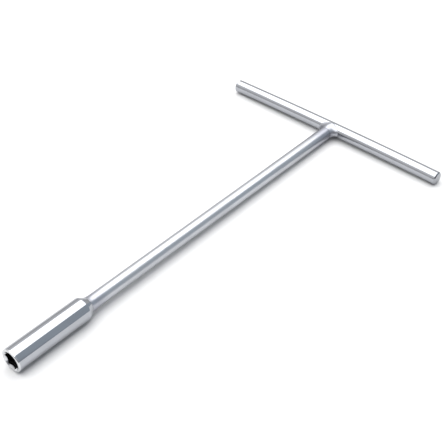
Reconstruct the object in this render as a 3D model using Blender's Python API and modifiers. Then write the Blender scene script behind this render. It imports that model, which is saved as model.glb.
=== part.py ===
"""T-handle socket wrench for 10 mm hexagon nuts, in metres with +Z up.

The tool lies along Y: the socket's mouth is at the -Y end and the cross bar at the +Y end. X = 0 is
the middle of the bar, Y = 0 the middle of the tool's length and Z = 0 the underside of the socket.
"""
from math import asin, cos, pi, radians, sin, sqrt, tan

import bmesh
import bpy
from mathutils import Vector

# The whole tool
OVERALL_LENGTH = 0.300
GAP = 0.0003                 # room between pieces that touch on the real tool
ROUND_STEPS = 80

# Cross bar
BAR_LENGTH = 0.176
BAR_RADIUS = 0.00470
BAR_CHAMFER = 0.0008
BAR_BOW = 0.0010             # height of the bar's middle above its ends
BAR_STATIONS = 16

# Shank, with a turned-down spigot that enters the back of the socket
SHANK_RADIUS = 0.00460
SPIGOT_RADIUS = 0.00400
SPIGOT_CHAMFER = 0.0005

# Socket
SOCKET_RADIUS = 0.0075
SOCKET_LENGTH = 0.0570
SHOULDER_LENGTH = 0.0040
SHOULDER_END_RADIUS = 0.0053
MOUTH_EDGE = 0.0004          # chamfer on the outside of the mouth
LEAD_IN_RADIUS = 0.0062      # large end of the taper that guides the nut in
LEAD_IN_ANGLE = radians(45)  # from the socket's axis
HEX_ACROSS_FLATS = 0.010
HEX_DEPTH = 0.018
HEX_TURN = radians(22.5)     # about the socket's axis, from a corner straight down
CLEARANCE_RADIUS = 0.0047    # round bore behind the hexagon, for the bolt's end
CLEARANCE_DEPTH = 0.036
SPIGOT_BORE_DEPTH = 0.012

# Weld between the socket and the shank
SOCKET_WELD_LENGTH = 0.0042
SOCKET_WELD_WAIST = 0.0049
SOCKET_WELD_CROWN = 0.0051

# Weld between the shank and the bar
TEE_WELD_LEG = 0.0050        # along the shank, from the bar's front
TEE_WELD_REACH = 0.0040      # along the bar, from the shank's side
TEE_WELD_WRAP = radians(88)  # up and down around the bar, from its front
TEE_WELD_EDGE = 0.0001
TEE_WELD_CROWN = 0.0002
TEE_WELD_RAYS = 72
TEE_WELD_STEPS = 10
TEE_WELD_UNDER_STEPS = 4

MOUTH_Y = -OVERALL_LENGTH / 2
BAR_Y = OVERALL_LENGTH / 2 - BAR_RADIUS
AXIS_Z = SOCKET_RADIUS
SHANK_START_Y = MOUTH_Y + SOCKET_LENGTH + 2 * GAP + SOCKET_WELD_LENGTH

ALONG_X = (0, pi / 2, 0)
ALONG_Y = (-pi / 2, 0, 0)


def clear_scene():
    for thing in list(bpy.data.objects):
        bpy.data.objects.remove(thing)


def collection(name):
    made = bpy.data.collections.new(name)
    bpy.context.scene.collection.children.link(made)
    return made


def metal(name, colour, roughness):
    material = bpy.data.materials.new(name)
    material.use_nodes = True
    shader = material.node_tree.nodes["Principled BSDF"]
    shader.inputs["Base Color"].default_value = (*colour, 1)
    shader.inputs["Metallic"].default_value = 1
    shader.inputs["Roughness"].default_value = roughness
    return material


def add_object(name, mesh, home, material=None):
    piece = bpy.data.objects.new(name, mesh)
    home.objects.link(piece)
    if material:
        mesh.materials.append(material)
    return piece


def turned(name, outline, home, material, closed=False):
    """Turn an outline of (radius, height) pairs, which runs down its outer side, about local Z."""
    links = [(i, i + 1) for i in range(len(outline) - 1)]
    if closed:
        links.append((len(outline) - 1, 0))
    mesh = bpy.data.meshes.new(name)
    mesh.from_pydata([(radius, 0, height) for radius, height in outline], links, [])
    piece = add_object(name, mesh, home, material)
    screw = piece.modifiers.new("Turn", "SCREW")
    screw.steps = screw.render_steps = ROUND_STEPS
    screw.use_merge_vertices = True
    screw.merge_threshold = 0.00001
    screw.use_smooth_shade = True
    return piece


def prism(name, radius, length, sides, home):
    """A cutter around local Z, with a corner on local Y."""
    mesh = bpy.data.meshes.new(name)
    shape = bmesh.new()
    bmesh.ops.create_cone(shape, cap_ends=True, segments=sides, radius1=radius, radius2=radius,
                          depth=length)
    shape.to_mesh(mesh)
    shape.free()
    cutter = add_object(name, mesh, home)
    cutter.hide_render = True
    cutter.display_type = "WIRE"
    return cutter


def cut(piece, cutter):
    boolean = piece.modifiers.new("Cut", "BOOLEAN")
    boolean.operation = "DIFFERENCE"
    boolean.solver = "EXACT"
    boolean.object = cutter


def handle_bar(parts):
    """The chamfered round bar, which bows slightly so that its ends are lower than its middle."""
    half = BAR_LENGTH / 2
    straight = half - BAR_CHAMFER
    outline = [(0, half), (BAR_RADIUS - BAR_CHAMFER, half)]
    for i in range(BAR_STATIONS + 1):
        outline.append((BAR_RADIUS, straight - 2 * straight * i / BAR_STATIONS))
    outline += [(BAR_RADIUS - BAR_CHAMFER, -half), (0, -half)]
    bar = turned("handle_bar", outline, parts, metal("handle_bar_chrome", (0.83, 0.84, 0.85), 0.10))
    bow = bar.modifiers.new("Bow", "SIMPLE_DEFORM")
    bow.deform_method = "BEND"
    bow.deform_axis = "Y"
    bow.angle = 2 * BAR_BOW / half ** 2 * BAR_LENGTH
    bar.rotation_euler = ALONG_X
    bar.location = (0, BAR_Y, AXIS_Z)
    return bar


def shank(parts, cutters):
    """The long round rod: coped to the bar at one end, a chamfered spigot at the other."""
    length = BAR_Y - SHANK_START_Y
    spigot = -(SOCKET_WELD_LENGTH + GAP + SPIGOT_BORE_DEPTH)
    outline = [
        (0, length), (SHANK_RADIUS, length), (SHANK_RADIUS, 0), (SPIGOT_RADIUS, 0),
        (SPIGOT_RADIUS, spigot + SPIGOT_CHAMFER), (SPIGOT_RADIUS - SPIGOT_CHAMFER, spigot),
        (0, spigot),
    ]
    rod = turned("shank", outline, parts, metal("shank_chrome", (0.80, 0.81, 0.83), 0.12))
    rod.rotation_euler = ALONG_Y
    rod.location = (0, SHANK_START_Y, AXIS_Z)
    cope = prism("shank_cope_cutter", BAR_RADIUS + GAP, 4 * BAR_RADIUS, ROUND_STEPS, cutters)
    cope.rotation_euler = ALONG_X
    cope.location = (0, BAR_Y, AXIS_Z)
    cut(rod, cope)
    return rod


def socket(parts, cutters):
    """The deep socket: hexagon and clearance bore in front, spigot bore behind."""
    bore = SPIGOT_RADIUS + GAP
    lead_in_length = (LEAD_IN_RADIUS - CLEARANCE_RADIUS) / tan(LEAD_IN_ANGLE)
    outline = [
        (0, SOCKET_LENGTH - SPIGOT_BORE_DEPTH), (bore, SOCKET_LENGTH - SPIGOT_BORE_DEPTH),
        (bore, SOCKET_LENGTH), (SHOULDER_END_RADIUS, SOCKET_LENGTH),
        (SOCKET_RADIUS, SOCKET_LENGTH - SHOULDER_LENGTH), (SOCKET_RADIUS, MOUTH_EDGE),
        (SOCKET_RADIUS - MOUTH_EDGE, 0), (LEAD_IN_RADIUS, 0),
        (CLEARANCE_RADIUS, lead_in_length), (CLEARANCE_RADIUS, CLEARANCE_DEPTH),
        (0, CLEARANCE_DEPTH),
    ]
    body = turned("socket", outline, parts, metal("socket_chrome", (0.82, 0.83, 0.85), 0.10))
    body.rotation_euler = ALONG_Y
    body.location = (0, MOUTH_Y, AXIS_Z)
    corner_radius = HEX_ACROSS_FLATS / 2 / cos(pi / 6)
    hexagon = prism("socket_hexagon_cutter", corner_radius, 2 * HEX_DEPTH, 6, cutters)
    hexagon.rotation_euler = (-pi / 2, -HEX_TURN, 0)
    hexagon.location = (0, MOUTH_Y, AXIS_Z)
    cut(body, hexagon)
    return body


def socket_weld(parts):
    """The ground weld in the groove behind the socket: a waist, then a low crown."""
    inner = SPIGOT_RADIUS + GAP
    length = SOCKET_WELD_LENGTH
    outline = [
        (SHANK_RADIUS + GAP / 2, length), (SOCKET_WELD_CROWN, 0.75 * length),
        (SOCKET_WELD_CROWN, 0.55 * length), (SOCKET_WELD_WAIST, 0.3 * length),
        (SHOULDER_END_RADIUS, 0), (inner, 0), (inner, length),
    ]
    ring = turned("socket_weld", outline, parts,
                  metal("socket_weld_chrome", (0.74, 0.75, 0.77), 0.2), closed=True)
    ring.rotation_euler = ALONG_Y
    ring.location = (0, MOUTH_Y + SOCKET_LENGTH + GAP, AXIS_Z)
    return ring


def on_bar(x, wrap, radius):
    """A point around the bar, measured from where the two axes meet; wrap 0 faces the socket."""
    return Vector((x, -radius * cos(wrap), radius * sin(wrap)))


def tee_weld_section(ray):
    """The loop around the bead's section, at one angle around the shank's axis."""
    inside = SHANK_RADIUS + GAP
    over = BAR_RADIUS + GAP
    outward = Vector((cos(ray), 0, sin(ray)))
    reach = (inside + TEE_WELD_REACH * cos(ray) ** 2) * cos(ray)
    wrap = TEE_WELD_WRAP * sin(ray)
    front = -over - TEE_WELD_LEG
    start = (inside + TEE_WELD_EDGE) * outward + Vector((0, front, 0))
    end = on_bar(reach, wrap, over + TEE_WELD_EDGE)
    landing = cos(ray) * Vector((1, 0, 0)) + sin(ray) * Vector((0, sin(wrap), cos(wrap)))
    pull = 0.55 * (end - start).length / sqrt(2)
    start_pull = start + Vector((0, pull, 0))
    end_pull = end - pull * landing.normalized()
    loop = [inside * outward + Vector((0, front, 0))]
    for i in range(TEE_WELD_STEPS + 1):
        t = i / TEE_WELD_STEPS
        point = ((1 - t) ** 3 * start + 3 * t * (1 - t) ** 2 * start_pull
                 + 3 * t ** 2 * (1 - t) * end_pull + t ** 3 * end)
        loop.append(point + TEE_WELD_CROWN * sin(pi * t) ** 2 * outward)
    root_wrap = asin(inside * sin(ray) / over)
    for i in range(TEE_WELD_UNDER_STEPS + 1):
        t = i / TEE_WELD_UNDER_STEPS
        x = reach + t * (inside * cos(ray) - reach)
        loop.append(on_bar(x, wrap + t * (root_wrap - wrap), over))
    return loop


def tee_weld(parts):
    """The fillet weld around the coped end of the shank, lofted from section to section."""
    shape = bmesh.new()
    rings = []
    for i in range(TEE_WELD_RAYS):
        loop = tee_weld_section(2 * pi * i / TEE_WELD_RAYS)
        rings.append([shape.verts.new(point) for point in loop])
    for ring, following in zip(rings, rings[1:] + rings[:1]):
        for i in range(len(ring)):
            j = (i + 1) % len(ring)
            shape.faces.new((ring[i], ring[j], following[j], following[i]))
    bmesh.ops.recalc_face_normals(shape, faces=shape.faces)
    mesh = bpy.data.meshes.new("tee_weld")
    shape.to_mesh(mesh)
    shape.free()
    mesh.shade_smooth()
    mesh.set_sharp_from_angle(angle=radians(35))
    bead = add_object("tee_weld", mesh, parts, metal("tee_weld_chrome", (0.78, 0.79, 0.81), 0.16))
    bead.location = (0, BAR_Y, AXIS_Z)
    return bead


clear_scene()
wrench = collection("t_handle_socket_wrench")
tools = collection("cutters")
handle_bar(wrench)
shank(wrench, tools)
socket(wrench, tools)
socket_weld(wrench)
tee_weld(wrench)
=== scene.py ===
"""The looks of the T-handle socket wrench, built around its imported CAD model.

Every piece of the chromed tool is a fine mesh in the place of its CAD node: rings of points around
the piece's axis, skinned into one closed surface. Lengths are in metres, and places come from the
frame.
"""
from math import asin, atan2, cos, hypot, pi, radians, sin, sqrt, tan

import bmesh
import bpy
from mathutils import Matrix, Vector, noise


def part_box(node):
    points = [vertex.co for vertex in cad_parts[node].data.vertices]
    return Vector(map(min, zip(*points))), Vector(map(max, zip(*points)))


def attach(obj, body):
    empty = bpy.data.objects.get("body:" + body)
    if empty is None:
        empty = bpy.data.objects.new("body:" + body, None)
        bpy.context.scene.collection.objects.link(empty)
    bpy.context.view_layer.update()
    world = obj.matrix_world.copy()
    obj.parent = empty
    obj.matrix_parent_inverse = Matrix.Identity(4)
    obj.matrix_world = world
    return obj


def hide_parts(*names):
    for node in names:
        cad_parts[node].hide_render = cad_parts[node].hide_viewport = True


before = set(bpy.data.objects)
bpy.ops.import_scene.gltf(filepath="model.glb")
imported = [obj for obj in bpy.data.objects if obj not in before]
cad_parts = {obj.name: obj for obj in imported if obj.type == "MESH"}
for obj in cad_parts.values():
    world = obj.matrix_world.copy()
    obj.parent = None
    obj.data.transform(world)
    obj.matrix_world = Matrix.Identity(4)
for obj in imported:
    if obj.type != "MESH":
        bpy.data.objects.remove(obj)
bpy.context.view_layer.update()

# The frame's own sizes
bar_low, bar_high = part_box("handle_bar")
shank_low, shank_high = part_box("shank")
socket_low, socket_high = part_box("socket")
socket_weld_low, socket_weld_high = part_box("socket_weld")
tee_weld_low, tee_weld_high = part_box("tee_weld")

AXIS_Z = (socket_low.z + socket_high.z) / 2
BAR_Y = (bar_low.y + bar_high.y) / 2
BAR_RADIUS = (bar_high.y - bar_low.y) / 2
BAR_BOW = bar_high.z - bar_low.z - 2 * BAR_RADIUS
BAR_SLOPE = 4 * BAR_BOW / (bar_high.x - bar_low.x)      # of the bowed bar at its ends
BAR_HALF = (bar_high.x - bar_low.x) / 2 - BAR_RADIUS * BAR_SLOPE
SHANK_RADIUS = (shank_high.x - shank_low.x) / 2
SOCKET_RADIUS = (socket_high.x - socket_low.x) / 2
SOCKET_LENGTH = socket_high.y - socket_low.y
MOUTH_Y = socket_low.y
WELD_START = socket_weld_low.y - MOUTH_Y                # from the mouth
WELD_END = socket_weld_high.y - MOUTH_Y

# Details that the frame's boxes don't give, the same as the CAD model's
BAR_CHAMFER = 0.0008
SPIGOT_RADIUS = 0.0040
SPIGOT_CHAMFER = 0.0005
SPIGOT_BORE_DEPTH = 0.012
SHOULDER_LENGTH = 0.0040
SHOULDER_END_RADIUS = 0.0053
LEAD_IN_RADIUS = 0.0062
LEAD_IN_ANGLE = radians(45)
HEX_INRADIUS = 0.005
HEX_DEPTH = 0.018
HEX_CORNER = radians(52.5)
CLEARANCE_RADIUS = 0.0047
CLEARANCE_DEPTH = 0.036
FIT = 0.0003

# Finer shapes that only the visual model has
HEX_CORNER_FILLET = 0.0003
BAR_FACE_FILLET = 0.0003
BAR_EDGE_FILLET = 0.0005
SHOULDER_END_FILLET = 0.0004
SHOULDER_FILLET = 0.0018
MOUTH_FILLET = 0.0006
LEAD_IN_FILLET = 0.0002
SOCKET_WALL_RINGS = (0.0254, 0.018, 0.012, 0.007, 0.004, 0.0025, 0.0016, 0.0011)
HEX_WALL_RINGS = (0.0025, 0.004, 0.007, 0.011, 0.0145)
WELD_RISE = 0.0006           # of the socket's weld over the shank, at the shoulder
TEE_WRAP = radians(92)       # how far the T weld goes around the bar
TEE_CROWN = 0.0006
SUNK = 0.00004               # of the T weld's edges into the rods

AXIS_RING = 0.0002           # the smallest ring, around the middle of an end face
ROUND = 180                  # points around a rod
SOCKET_ROUND = 360
STATIONS = 60                # rings along a rod


# ---------------------------------------------------------------- mesh tools

def link(name, data):
    made = bpy.data.objects.new(name, data)
    bpy.context.scene.collection.objects.link(made)
    return made


def skin(name, rings, closed=False, sharp=radians(40)):
    """One closed surface through rings of points; without closed, a fan caps each end."""
    shape = bmesh.new()
    made = [[shape.verts.new(point) for point in ring] for ring in rings]
    pairs = list(zip(made, made[1:]))
    if closed:
        pairs.append((made[-1], made[0]))
    for here, there in pairs:
        for i in range(len(here)):
            j = (i + 1) % len(here)
            shape.faces.new((here[i], here[j], there[j], there[i]))
    if not closed:
        for ring in (made[0], made[-1]):
            middle = sum((v.co for v in ring), Vector()) / len(ring)
            centre = shape.verts.new(middle)
            for i in range(len(ring)):
                shape.faces.new((ring[i], ring[(i + 1) % len(ring)], centre))
    bmesh.ops.recalc_face_normals(shape, faces=shape.faces)
    mesh = bpy.data.meshes.new(name)
    shape.to_mesh(mesh)
    shape.free()
    mesh.shade_smooth()
    mesh.set_sharp_from_angle(angle=sharp)
    return link(name, mesh)


def circle(height, radius, count=ROUND):
    """A ring around the tool's axis, at a height along Y from the socket's mouth."""
    turns = [2 * pi * i / count for i in range(count)]
    return [Vector((radius * cos(a), MOUTH_Y + height, AXIS_Z + radius * sin(a))) for a in turns]


def corner(before, point, after, radius, steps=6):
    """Round off the corner of an outline of (radius, height) points."""
    point = Vector(point)
    back = (Vector(before) - point).normalized()
    on = (Vector(after) - point).normalized()
    half = back.angle(on) / 2
    reach = radius / tan(half)
    start = point + reach * back
    end = point + reach * on
    centre = point + (back + on).normalized() * radius / sin(half)
    arm = start - centre
    sweep = pi - 2 * half
    side = 1 if arm.x * (end - centre).y - arm.y * (end - centre).x > 0 else -1
    turned = []
    for i in range(steps + 1):
        a = side * sweep * i / steps
        turn = Vector((arm.x * cos(a) - arm.y * sin(a), arm.x * sin(a) + arm.y * cos(a)))
        turned.append(tuple(centre + turn))
    return turned


def rounded(outline, radii):
    """Round the inner points of an outline: one radius for each, 0 to keep it sharp."""
    made = [outline[0]]
    for i in range(1, len(outline) - 1):
        if radii[i - 1]:
            made += corner(outline[i - 1], outline[i], outline[i + 1], radii[i - 1])
        else:
            made.append(outline[i])
    made.append(outline[-1])
    return made


def nothing(co):
    return 0


def store(piece, name, value):
    """Keep a number from 0 to 1 at each vertex, for the material to read."""
    attribute = piece.data.attributes.new(name, "FLOAT", "POINT")
    attribute.data.foreach_set("value", [value(v.co) for v in piece.data.vertices])


def fade(distance, length):
    """1 up to a distance of 0, then smoothly down to 0 over a length."""
    share = min(1, max(0, 1 - distance / length))
    return share * share * (3 - 2 * share)


def finish_piece(piece, material, node, painted_shade=nothing, edge=nothing, tinted=nothing):
    store(piece, "painted_shade", painted_shade)
    store(piece, "edge", edge)
    store(piece, "tinted", tinted)
    piece.data.materials.append(material)
    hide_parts(node)
    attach(piece, "root")


# ---------------------------------------------------------------- materials

PLATE = (0.415, 0.427, 0.455)
SATIN = (0.505, 0.518, 0.545)
# plate on the mouth's rim: partly wear, partly a painted highlight that brightens its reflection
WORN_AND_HIGHLIGHT = (0.74, 0.75, 0.76)
TINT = (0.37, 0.38, 0.425)
# near-black colours of the painted shade, varied by the smudges
PAINTED_SHADE_DARK = (0.055, 0.056, 0.06)
PAINTED_SHADE_LIGHT = (0.09, 0.088, 0.085)
SMUDGE_SCALE = 60
SMUDGED = 0.93               # the plate's brightness under a smudge
EDGE_ROUGHNESS = 0.08        # added to the plate's own
PAINTED_SHADE_ROUGHNESS = 0.3
TINT_ROUGHNESS = 0.06
LINE_ROUGHNESS = 0.03


def chrome(name, colour, smooth, rough, grain, grain_depth):
    """Bright plate over ground steel. Grain is the scale of the polishing lines along X, Y and Z.

    The vertex number for painted shade turns the plate near black where shade falls, in hollows,
    creases and on chamfers; "edge" makes it brighter, partly wear and partly a painted highlight, and
    "tinted" is the matt lavender of the plating around a weld.
    """
    material = bpy.data.materials.new(name)
    material.use_nodes = True
    tree = material.node_tree
    shader = tree.nodes["Principled BSDF"]
    shader.inputs["Metallic"].default_value = 1
    shader.inputs["Specular Tint"].default_value = (0.8, 0.8, 0.8, 1)

    def node(kind, **settings):
        made = tree.nodes.new(kind)
        for key, value in settings.items():
            setattr(made, key, value)
        return made

    place = node("ShaderNodeTexCoord")

    def cloud(scale, stretch, detail, roughness=0.5):
        stretched = node("ShaderNodeMapping")
        stretched.inputs["Scale"].default_value = stretch
        tree.links.new(place.outputs["Object"], stretched.inputs["Vector"])
        made = node("ShaderNodeTexNoise")
        made.inputs["Scale"].default_value = scale
        made.inputs["Detail"].default_value = detail
        made.inputs["Roughness"].default_value = roughness
        tree.links.new(stretched.outputs["Vector"], made.inputs["Vector"])
        return made.outputs["Fac"]

    def spread(source, low, high, to_low, to_high):
        made = node("ShaderNodeMapRange", interpolation_type="SMOOTHSTEP")
        made.inputs["From Min"].default_value = low
        made.inputs["From Max"].default_value = high
        made.inputs["To Min"].default_value = to_low
        made.inputs["To Max"].default_value = to_high
        tree.links.new(source, made.inputs["Value"])
        return made.outputs["Result"]

    def blend_colour(factor, first, second):
        made = node("ShaderNodeMix", data_type="RGBA")
        tree.links.new(factor, made.inputs["Factor"])
        for socket_index, value in ((6, first), (7, second)):
            if isinstance(value, tuple):
                made.inputs[socket_index].default_value = (*value, 1)
            else:
                tree.links.new(value, made.inputs[socket_index])
        return made.outputs[2]

    def combine(operation, first, second):
        made = node("ShaderNodeMath", operation=operation)
        for index, value in enumerate((first, second)):
            if isinstance(value, (int, float)):
                made.inputs[index].default_value = value
            else:
                tree.links.new(value, made.inputs[index])
        return made.outputs[0]

    def vertex_number(attribute):
        return node("ShaderNodeAttribute", attribute_name=attribute).outputs["Fac"]

    # painted shade: the plate turns near black where this vertex number is 1
    painted_shade = vertex_number("painted_shade")
    edge = vertex_number("edge")
    tinted = vertex_number("tinted")
    smudges = cloud(SMUDGE_SCALE, (1, 1, 1), 4)
    lines = cloud(1, grain, 3, 0.7)

    smudged = tuple(SMUDGED * c for c in colour)
    plate = blend_colour(spread(smudges, 0.35, 0.7, 0, 1), colour, smudged)
    # wear and a painted highlight where "edge" is set
    wear_and_highlight = combine("MULTIPLY", edge, spread(smudges, 0.3, 0.7, 0.6, 1.0))
    plate = blend_colour(wear_and_highlight, plate, WORN_AND_HIGHLIGHT)
    plate = blend_colour(tinted, plate, TINT)
    painted_shade_colour = blend_colour(spread(smudges, 0.4, 0.6, 0, 1), PAINTED_SHADE_DARK, PAINTED_SHADE_LIGHT)
    tree.links.new(blend_colour(painted_shade, plate, painted_shade_colour), shader.inputs["Base Color"])

    polish = spread(smudges, 0.35, 0.75, smooth, rough)
    gloss = combine("ADD", polish, spread(lines, 0.45, 0.8, 0, LINE_ROUGHNESS))
    for number, added in ((edge, EDGE_ROUGHNESS), (painted_shade, PAINTED_SHADE_ROUGHNESS), (tinted, TINT_ROUGHNESS)):
        gloss = combine("ADD", gloss, combine("MULTIPLY", number, added))
    tree.links.new(gloss, shader.inputs["Roughness"])

    bump = node("ShaderNodeBump")
    bump.inputs["Strength"].default_value = 1
    bump.inputs["Distance"].default_value = grain_depth
    tree.links.new(lines, bump.inputs["Height"])
    tree.links.new(bump.outputs["Normal"], shader.inputs["Normal"])
    return material


TOOL_LINES = (900, 60, 900)      # fine across the tool, long along it
BAR_LINES = (60, 900, 900)
WELD_GRAIN = (700, 700, 700)

bar_chrome = chrome("bar_chrome", PLATE, 0.07, 0.12, BAR_LINES, 0.000002)
shank_chrome = chrome("shank_chrome", SATIN, 0.28, 0.36, TOOL_LINES, 0.000002)
socket_chrome = chrome("socket_chrome", PLATE, 0.04, 0.09, TOOL_LINES, 0.000001)
weld_chrome = chrome("weld_chrome", SATIN, 0.26, 0.34, WELD_GRAIN, 0.000004)


# ---------------------------------------------------------------- pieces

def handle_bar():
    """The bowed round bar, with rounded chamfers at its ends."""
    outline = [(AXIS_RING, -BAR_HALF), (BAR_RADIUS - BAR_CHAMFER, -BAR_HALF),
               (BAR_RADIUS, BAR_CHAMFER - BAR_HALF), (BAR_RADIUS, 0)]
    left = rounded(outline, (BAR_FACE_FILLET, BAR_EDGE_FILLET))[:-1]
    straight = BAR_HALF - 2 * BAR_CHAMFER
    middle = [(BAR_RADIUS, straight * (2 * i / STATIONS - 1)) for i in range(STATIONS + 1)]
    profile = left + middle + [(radius, -x) for radius, x in reversed(left)]
    rings = []
    for radius, x in profile:
        share = x / BAR_HALF
        middle_z = AXIS_Z - BAR_BOW * share ** 2
        lean = -BAR_SLOPE * share
        ring = []
        for i in range(ROUND):
            a = 2 * pi * i / ROUND
            up = radius * sin(a)
            ring.append(Vector((x - up * sin(lean), BAR_Y + radius * cos(a), middle_z + up * cos(lean))))
        rings.append(ring)

    # painted shade on the chamfers at the bar's ends
    def chamfer_shade(co):
        return 0.5 * fade(abs(abs(co.x) - BAR_HALF + BAR_CHAMFER / 2), 0.0005)

    bar = skin("handle_bar_chromed", rings)
    finish_piece(bar, bar_chrome, "handle_bar", painted_shade=chamfer_shade)


def shank():
    """The rod from its spigot in the socket to its coped end against the bar."""
    spigot_start = SOCKET_LENGTH - SPIGOT_BORE_DEPTH + FIT
    step = WELD_END + FIT
    outline = [(AXIS_RING, spigot_start), (SPIGOT_RADIUS - SPIGOT_CHAMFER, spigot_start),
               (SPIGOT_RADIUS, spigot_start + SPIGOT_CHAMFER), (SPIGOT_RADIUS, step),
               (SHANK_RADIUS, step)]
    rings = [circle(height, radius) for radius, height in outline]
    end = BAR_Y - MOUTH_Y - BAR_RADIUS - 0.002
    for i in range(1, STATIONS + 1):
        rings.append(circle(step + (end - step) * i / STATIONS, SHANK_RADIUS))
    cope = (BAR_RADIUS - FIT) ** 2
    for share in (1, 0.7, 0.4, 0.1):
        ring = []
        for point in circle(0, share * SHANK_RADIUS):
            point.y = BAR_Y - sqrt(cope - min((point.z - AXIS_Z) ** 2, cope))
            ring.append(point)
        rings.append(ring)

    # painted shade: the spigot inside the socket is turned near black
    def in_socket(co):
        return 1 if co.y < socket_weld_low.y else 0

    def near_welds(co):
        at_socket = 0.8 * fade(co.y - socket_weld_high.y, 0.010)
        return max(at_socket, fade(tee_weld_low.y - co.y, 0.026))

    rod = skin("shank_chromed", rings)
    finish_piece(rod, shank_chrome, "shank", painted_shade=in_socket, tinted=near_welds)


def hexagon_radius(angle):
    """From the socket's axis to the wall of the hexagon, whose corners have a small fillet."""
    sector = pi / 3
    off = (angle - HEX_CORNER + sector / 2) % sector - sector / 2
    centre = (HEX_INRADIUS - HEX_CORNER_FILLET) / cos(pi / 6)
    tangent = atan2(HEX_CORNER_FILLET * sin(pi / 6), centre + HEX_CORNER_FILLET * cos(pi / 6))
    if abs(off) < tangent:
        return centre * cos(off) + sqrt(HEX_CORNER_FILLET ** 2 - (centre * sin(off)) ** 2)
    return HEX_INRADIUS / cos(sector / 2 - abs(off))


def scallop(angle):
    """The depth at which the lead-in's cone meets the hexagon's wall."""
    return (LEAD_IN_RADIUS - hexagon_radius(angle)) / tan(LEAD_IN_ANGLE)


def socket():
    """The deep socket, outside and in: the lead-in meets the hexagon's flats in six scallops."""
    bore = SPIGOT_RADIUS + FIT
    bottom = SOCKET_LENGTH - SPIGOT_BORE_DEPTH
    shoulder = SOCKET_LENGTH - SHOULDER_LENGTH
    outline = [(AXIS_RING, bottom), (bore, bottom), (bore, SOCKET_LENGTH),
               (SHOULDER_END_RADIUS, SOCKET_LENGTH), (SOCKET_RADIUS, shoulder), (SOCKET_RADIUS, 0),
               (LEAD_IN_RADIUS, 0), (LEAD_IN_RADIUS - 0.0002, 0.0002)]
    fillets = (0, 0, SHOULDER_END_FILLET, SHOULDER_FILLET, MOUTH_FILLET, LEAD_IN_FILLET)
    profile = rounded(outline, fillets)[:-1]
    first_of_mouth = next(i for i, (radius, height) in enumerate(profile)
                          if radius > bore and height < 0.001)
    profile[first_of_mouth:first_of_mouth] = [(SOCKET_RADIUS, height) for height in SOCKET_WALL_RINGS]
    rings = [circle(height, radius, SOCKET_ROUND) for radius, height in profile]
    turns = [2 * pi * i / SOCKET_ROUND for i in range(SOCKET_ROUND)]
    start_radius, start_depth = profile[-1]

    def wall(depth_at, radius_at):
        ring = []
        for a in turns:
            radius = radius_at(a)
            ring.append(Vector((radius * cos(a), MOUTH_Y + depth_at(a), AXIS_Z + radius * sin(a))))
        rings.append(ring)

    for share in (0.3, 0.6, 0.88, 1.0):
        wall(lambda a: start_depth + share * (scallop(a) - start_depth),
             lambda a: start_radius + share * (hexagon_radius(a) - start_radius))
    for depth in (*HEX_WALL_RINGS, HEX_DEPTH):
        wall(lambda a: depth, hexagon_radius)
    wall(lambda a: HEX_DEPTH, lambda a: CLEARANCE_RADIUS)
    wall(lambda a: CLEARANCE_DEPTH, lambda a: CLEARANCE_RADIUS)
    wall(lambda a: CLEARANCE_DEPTH, lambda a: AXIS_RING)

    # painted shade: the hexagon's walls past the scallops and the bore deep inside the socket are turned
    # near black
    def inside(co):
        radius = hypot(co.x, co.z - AXIS_Z)
        depth = co.y - MOUTH_Y
        if depth > bottom - 0.001:
            return 1 if radius < bore + 0.0001 else 0
        if depth < 0.0012 or radius > LEAD_IN_RADIUS:
            return 0
        return 1 if depth > scallop(atan2(co.z - AXIS_Z, co.x)) - 0.0001 else 0

    # wear and a painted highlight on the socket's mouth rim
    def at_mouth(co):
        return fade(co.y - MOUTH_Y - 0.0004, 0.0008)

    body = skin("socket_chromed", rings, sharp=radians(25))
    finish_piece(body, socket_chrome, "socket", painted_shade=inside, edge=at_mouth)


def uneven(point, amount, scale):
    """How far a weld's surface stands off its ideal shape here."""
    return amount * noise.noise(point * scale)


def socket_weld():
    """The ground bead behind the shoulder, which runs out into the shank."""
    length = WELD_END - WELD_START
    steps = 28
    rings = []
    for i in range(steps + 1):
        t = i / steps
        radius = SHANK_RADIUS + 0.00002 + WELD_RISE * (1 - t) ** 2.2
        ring = circle(WELD_START - FIT + t * (length + 2 * FIT), radius)
        for point in ring:
            outward = Vector((point.x, 0, point.z - AXIS_Z)).normalized()
            point += outward * uneven(point, 0.00001, 700)
        rings.append(ring)
    for height in (WELD_END + FIT, WELD_START - FIT):
        rings.append(circle(height, SPIGOT_RADIUS + FIT / 2))
    ring = skin("socket_weld_chromed", rings, closed=True)
    finish_piece(ring, weld_chrome, "socket_weld", tinted=lambda co: 0.8)


def on_bar(x, wrap, radius):
    """A point around the bar; wrap 0 faces the socket and a right angle is the bar's top."""
    return Vector((x, BAR_Y - radius * cos(wrap), AXIS_Z + radius * sin(wrap)))


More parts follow.
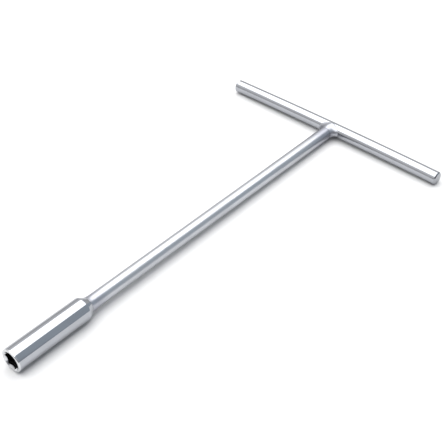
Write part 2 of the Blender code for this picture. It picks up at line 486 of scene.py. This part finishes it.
def tee_weld():
    """The fillet weld around the shank's coped end, blended into both rods."""
    reach_out = (tee_weld_high.x - tee_weld_low.x) / 2
    inner = SHANK_RADIUS - 2 * FIT
    over = BAR_RADIUS - FIT
    steps = 40
    rays = 240
    axis_point = Vector((0, tee_weld_low.y, AXIS_Z))
    rings = []
    for k in range(rays):
        ray = 2 * pi * k / rays
        outward = Vector((cos(ray), 0, sin(ray)))
        start = axis_point + (SHANK_RADIUS - SUNK) * outward
        wrap = TEE_WRAP * sin(ray)
        reach = SHANK_RADIUS + (reach_out - SHANK_RADIUS) * cos(ray) ** 2
        end = on_bar(reach * cos(ray), wrap, BAR_RADIUS - SUNK)
        landing = Vector((cos(ray), sin(ray) * sin(wrap), sin(ray) * cos(wrap))).normalized()
        pull = 0.62 * (end - start).length / sqrt(2)
        on_from_start = start + Vector((0, pull, 0))
        back_from_end = end - 0.75 * pull * landing
        ring = []
        for i in range(steps + 1):
            t = i / steps
            point = ((1 - t) ** 3 * start + 3 * t * (1 - t) ** 2 * on_from_start
                     + 3 * t ** 2 * (1 - t) * back_from_end + t ** 3 * end)
            top = max(0, sin(ray)) ** 0.5
            crown = TEE_CROWN * top * (1 - fade(t, 0.6)) * fade(t - 0.86, 0.14)
            lump = uneven(point, 0.00003, 400) * sin(pi * t)
            ring.append(point + (crown + lump) * outward)
        root = asin(inner * sin(ray) / over)
        for i in range(4):
            t = i / 3
            x = reach * cos(ray) + t * (inner - reach) * cos(ray)
            ring.append(on_bar(x, wrap + t * (root - wrap), over))
        ring.append(axis_point + inner * outward)
        rings.append(ring)

    # painted shade along the weld's toes, where it meets the shank and the bar
    def toe(co):
        off_shank = hypot(co.x, co.z - AXIS_Z) - SHANK_RADIUS
        off_bar = hypot(co.y - BAR_Y, co.z - AXIS_Z) - BAR_RADIUS
        return 0.5 * fade(min(off_shank, off_bar), 0.0001)

    def near_shank(co):
        return 0.5 + 0.5 * fade(co.y - tee_weld_low.y - 0.001, 0.004)

    bead = skin("tee_weld_chromed", rings, closed=True)
    finish_piece(bead, weld_chrome, "tee_weld", painted_shade=toe, tinted=near_shank)


handle_bar()
shank()
socket()
socket_weld()
tee_weld()


# ---------------------------------------------------------------- stage, camera, light

# The tool rests on the socket's shoulder and the ends of the bar, so the floor leans a little.
REST_Y = socket_high.y - SHOULDER_LENGTH
LEAN = atan2(bar_low.z - socket_low.z, BAR_Y - REST_Y)
ground = (Matrix.Translation((0, REST_Y, socket_low.z)) @ Matrix.Rotation(LEAN, 4, "X")
          @ Matrix.Translation((0, BAR_Y - REST_Y, 0)))

FLOOR_SIZE = 12
FLOOR_CENTRE_Y = -0.15
FLOOR_GAP = 0.00002          # under the tool
FLOOR_WHITE = (0.76, 0.76, 0.76)

CAMERA_AZIMUTH = radians(41.02)
CAMERA_ELEVATION = radians(40.54)
CAMERA_DISTANCE = 0.6309
CAMERA_TARGET = Vector((0.00463, -0.12519, 0))
CAMERA_LENS = 79.01
SENSOR_WIDTH = 36

# The room: a wide softbox overhead, walls that glow towards it, a darker side to the right, and an
# unlit front. A facing is the horizontal direction of a region's middle.
WALL_GLOW = ((0.0, 0.62), (0.15, 0.74), (0.42, 0.90), (0.60, 1.15), (0.72, 1.45), (0.80, 1.05),
             (0.9, 0.85))
DARK_SIDE = (0.525, 0.585, 0.645)
DARK_FACING = radians(0)
DARK_EDGE = (-0.36, 0.0)     # where the region starts and is full, as the cosine from its middle
UNLIT_FRONT = (0.30, 0.30, 0.32)
FRONT_FACING = radians(-37)
FRONT_EDGE = (0.45, 0.62)
SOFTBOX_EDGE = (-0.01, 0.03)
SOFTBOX_RADIANCE = 1.65
SOFTBOX_HEIGHT = 4.0
SOFTBOX_TURN = radians(8)
SOFTBOX_RIGHT = radians(64)  # the elevations of its four edges
SOFTBOX_LEFT = radians(49)
SOFTBOX_FRONT = radians(52)
SOFTBOX_BACK = radians(46)


def floor():
    shape = bmesh.new()
    bmesh.ops.create_grid(shape, x_segments=24, y_segments=24, size=FLOOR_SIZE / 2)
    mesh = bpy.data.meshes.new("studio_floor")
    shape.to_mesh(mesh)
    shape.free()
    plane = link("studio_floor", mesh)
    plane.matrix_world = ground @ Matrix.Translation((0, FLOOR_CENTRE_Y, -FLOOR_GAP))
    paint = bpy.data.materials.new("studio_floor_white")
    paint.use_nodes = True
    shader = paint.node_tree.nodes["Principled BSDF"]
    shader.inputs["Base Color"].default_value = (*FLOOR_WHITE, 1)
    shader.inputs["Roughness"].default_value = 0.9
    shader.inputs["Specular IOR Level"].default_value = 0.1
    mesh.materials.append(paint)


def camera():
    away = Vector((sin(CAMERA_AZIMUTH) * cos(CAMERA_ELEVATION),
                   -cos(CAMERA_AZIMUTH) * cos(CAMERA_ELEVATION), sin(CAMERA_ELEVATION)))
    data = bpy.data.cameras.new("camera")
    data.lens = CAMERA_LENS
    data.sensor_width = SENSOR_WIDTH
    data.clip_start = 0.01
    eye = link("camera", data)
    turn = away.to_track_quat("Z", "Y").to_matrix().to_4x4()
    eye.matrix_world = ground @ Matrix.Translation(CAMERA_TARGET + CAMERA_DISTANCE * away) @ turn
    bpy.context.scene.camera = eye


def studio():
    """Walls whose glow rises towards the softbox, the dark side beyond its right-hand edge, and
    the unlit front."""
    world = bpy.data.worlds.new("studio")
    bpy.context.scene.world = world
    world.use_nodes = True
    tree = world.node_tree
    tree.nodes.clear()
    place = tree.nodes.new("ShaderNodeTexCoord")
    apart = tree.nodes.new("ShaderNodeSeparateXYZ")
    tree.links.new(place.outputs["Generated"], apart.inputs[0])
    glow = tree.nodes.new("ShaderNodeValToRGB")
    marks = glow.color_ramp.elements
    while len(marks) < len(WALL_GLOW):
        marks.new(0.5)
    for mark, (height, level) in zip(marks, WALL_GLOW):
        mark.position = height
        mark.color = (level, level, level, 1)
    tree.links.new(apart.outputs["Z"], glow.inputs["Fac"])

    def beyond(normal, edge):
        """From 0 to 1 as a direction leans towards a normal."""
        facing = tree.nodes.new("ShaderNodeVectorMath")
        facing.operation = "DOT_PRODUCT"
        facing.inputs[1].default_value = normal
        tree.links.new(place.outputs["Generated"], facing.inputs[0])
        share = tree.nodes.new("ShaderNodeMapRange")
        share.interpolation_type = "SMOOTHSTEP"
        share.inputs["From Min"].default_value, share.inputs["From Max"].default_value = edge
        tree.links.new(facing.outputs["Value"], share.inputs["Value"])
        return share.outputs["Result"]

    def level_beyond(facing, edge):
        return beyond((cos(facing), sin(facing), 0), edge)

    def blend(factor, first, colour):
        made = tree.nodes.new("ShaderNodeMix")
        made.data_type = "RGBA"
        made.inputs[7].default_value = (*colour, 1)
        tree.links.new(factor, made.inputs["Factor"])
        tree.links.new(first, made.inputs[6])
        return made.outputs[2]

    under_softbox = (cos(SOFTBOX_TURN) * sin(SOFTBOX_RIGHT), sin(SOFTBOX_TURN) * sin(SOFTBOX_RIGHT),
                     -cos(SOFTBOX_RIGHT))
    dark = tree.nodes.new("ShaderNodeMath")
    dark.operation = "MULTIPLY"
    tree.links.new(beyond(under_softbox, SOFTBOX_EDGE), dark.inputs[0])
    tree.links.new(level_beyond(DARK_FACING, DARK_EDGE), dark.inputs[1])
    walls = blend(dark.outputs[0], glow.outputs["Color"], DARK_SIDE)
    walls = blend(level_beyond(FRONT_FACING, FRONT_EDGE), walls, UNLIT_FRONT)
    background = tree.nodes.new("ShaderNodeBackground")
    tree.links.new(walls, background.inputs["Color"])
    output = tree.nodes.new("ShaderNodeOutputWorld")
    tree.links.new(background.outputs["Background"], output.inputs["Surface"])


def softbox():
    """Its straight right-hand edge is the one that the chrome shows."""
    right, left, front, back = (SOFTBOX_HEIGHT / tan(elevation) for elevation in (
        SOFTBOX_RIGHT, SOFTBOX_LEFT, SOFTBOX_FRONT, SOFTBOX_BACK))
    width, depth = right + left, front + back
    data = bpy.data.lights.new("softbox", "AREA")
    data.shape = "RECTANGLE"
    data.size, data.size_y = width, depth
    data.energy = 4 * SOFTBOX_RADIANCE * width * depth
    lamp = link("softbox", data)
    middle = Matrix.Translation(((right - left) / 2, (back - front) / 2, SOFTBOX_HEIGHT))
    lamp.matrix_world = ground @ Matrix.Rotation(SOFTBOX_TURN, 4, "Z") @ middle


floor()
camera()
studio()
softbox()
bpy.context.scene.view_settings.view_transform = "Standard"
